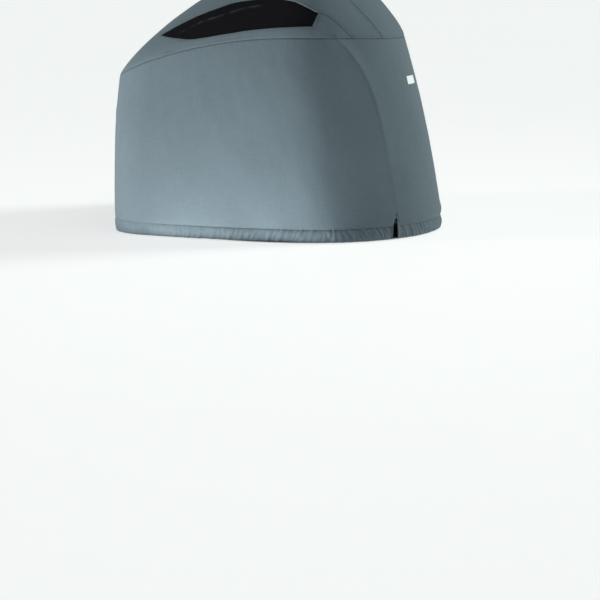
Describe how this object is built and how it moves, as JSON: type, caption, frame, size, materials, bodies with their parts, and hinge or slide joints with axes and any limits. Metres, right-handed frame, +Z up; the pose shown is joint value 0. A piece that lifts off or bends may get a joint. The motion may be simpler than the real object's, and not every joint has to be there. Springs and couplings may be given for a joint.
{
  "type": "outboard motor cover",
  "caption": "Fitted canvas cover for an outboard motor's cowl: wall and rear panel with a gathered hem, panelled crown, mesh side vents and a bare sewn label, open at the bottom.",
  "frame": {"origin": "underside of the crown's top on the cover's centre plane, where the cowl carries it", "axes": "+Z up, +X towards the rear of the motor, -Y to port"},
  "size_m": [0.7915, 0.6454, 0.6274],
  "materials": {
    "canvas": "matte woven",
    "mesh": "matte mesh",
    "label": "matte woven"
  },
  "bodies": {
    "root": {"wall_panel": "canvas", "rear_panel": "canvas", "crown_centre": "canvas", "shoulder_port": "canvas", "shoulder_starboard": "canvas", "vent_port": "mesh", "vent_starboard": "mesh", "label": "label"}
  },
  "joints": []
}
